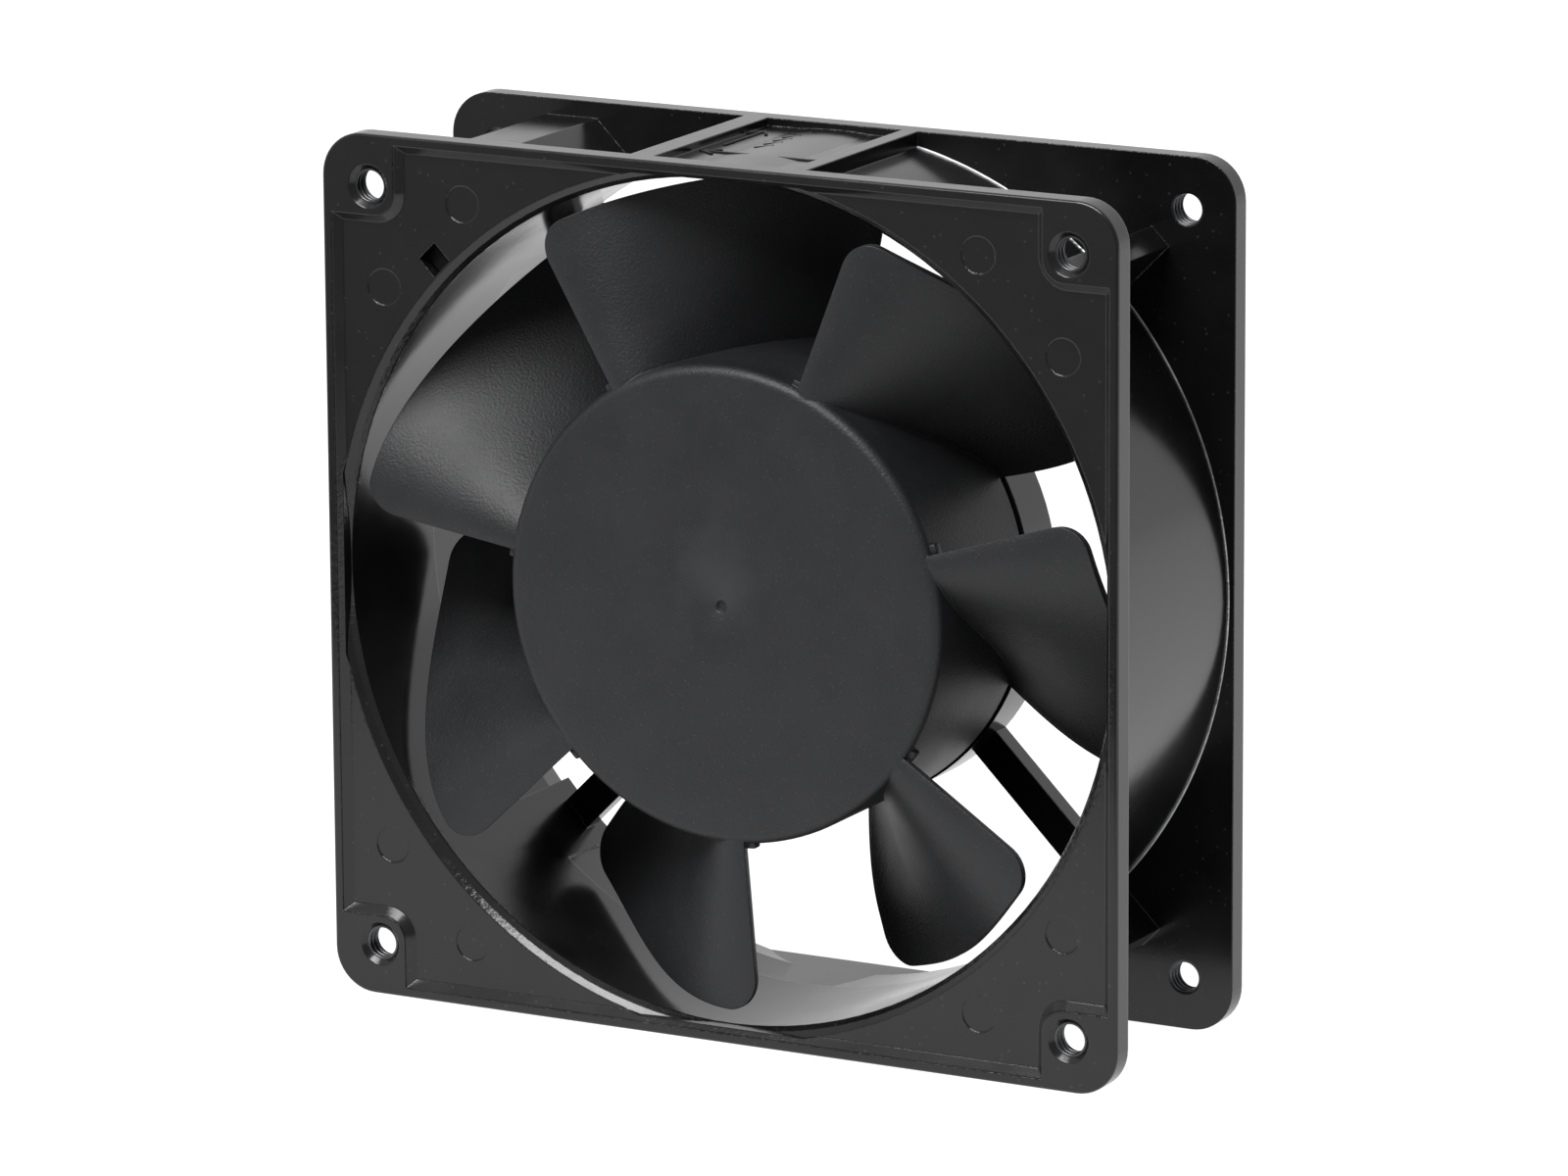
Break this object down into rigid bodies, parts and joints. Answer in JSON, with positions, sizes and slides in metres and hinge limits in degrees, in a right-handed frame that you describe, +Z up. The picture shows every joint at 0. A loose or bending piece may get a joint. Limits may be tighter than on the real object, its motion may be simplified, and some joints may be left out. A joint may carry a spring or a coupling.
{
  "type": "case fan",
  "caption": "Square axial case fan with a deep flanged metal housing, seven-blade impeller on an external-rotor AC motor, and spade terminals.",
  "frame": {"origin": "on the rotor's axis, halfway through the depth of the housing, which is the centre of the box", "axes": "+Z up, +Y the way the air leaves (rear, motor side), -Y the inlet side, +X to the right seen from the inlet"},
  "size_m": [0.119, 0.038, 0.119],
  "materials": {
    "painted_aluminium": "semi-gloss black paint over die-cast aluminium",
    "hub_plastic": "matte charcoal glass-filled plastic",
    "rotor_steel": "drawn steel",
    "bright_steel": "ground steel",
    "brass_cage": "pressed brass",
    "laminated_steel": "stacked electrical steel",
    "cast_aluminium": "die-cast, unpainted",
    "copper": "copper, enamelled on the coils",
    "insulator_plastic": "off-white nylon",
    "holder_plastic": "black nylon",
    "tinned_brass": "tinned",
    "lead_insulation": "black PVC",
    "label_foil": "matte foil, blank"
  },
  "bodies": {
    "fan_frame": {"bearing_sleeve": "bright_steel", "coil_1": "copper", "coil_2": "copper", "coil_3": "copper", "coil_4": "copper", "front_bearing_outer_ring": "bright_steel", "front_bearing_shields": "bright_steel", "front_end_insulator": "insulator_plastic", "housing": "painted_aluminium", "lead_wire_1": "lead_insulation", "lead_wire_2": "lead_insulation", "rear_bearing_outer_ring": "bright_steel", "rear_bearing_shields": "bright_steel", "rear_end_insulator": "insulator_plastic", "rear_label": "label_foil", "shading_ring_1": "copper", "shading_ring_2": "copper", "shading_ring_3": "copper", "shading_ring_4": "copper", "stator_core": "laminated_steel", "terminal_holder": "holder_plastic", "terminal_tab_1": "tinned_brass", "terminal_tab_2": "tinned_brass"},
    "rotor": {"impeller": "hub_plastic", "rotor_cup": "rotor_steel", "rotor_core": "laminated_steel", "squirrel_cage": "cast_aluminium", "rotor_boss": "cast_aluminium", "shaft": "bright_steel", "preload_spring": "bright_steel", "front_shim_washer": "bright_steel", "rear_shim_washer": "bright_steel", "retaining_clip": "bright_steel", "front_bearing_inner_ring": "bright_steel", "rear_bearing_inner_ring": "bright_steel"},
    "front_ball_set": {"front_bearing_balls": "bright_steel", "front_bearing_cage": "brass_cage"},
    "rear_ball_set": {"rear_bearing_balls": "bright_steel", "rear_bearing_cage": "brass_cage"}
  },
  "joints": [
    {"name": "rotor_spin", "type": "hinge", "parent": "fan_frame", "child": "rotor", "pos_m": [0, 0, 0], "axis": [0, -1, 0], "continuous": true},
    {"name": "front_ball_spin", "type": "hinge", "parent": "fan_frame", "child": "front_ball_set", "pos_m": [0, -0.009, 0], "axis": [0, -1, 0], "continuous": true},
    {"name": "rear_ball_spin", "type": "hinge", "parent": "fan_frame", "child": "rear_ball_set", "pos_m": [0, 0.0116, 0], "axis": [0, -1, 0], "continuous": true}
  ],
  "couplings": [
    {"joint": "front_ball_spin", "follows": "rotor_spin", "ratio": 0.4158},
    {"joint": "rear_ball_spin", "follows": "rotor_spin", "ratio": 0.4158}
  ]
}
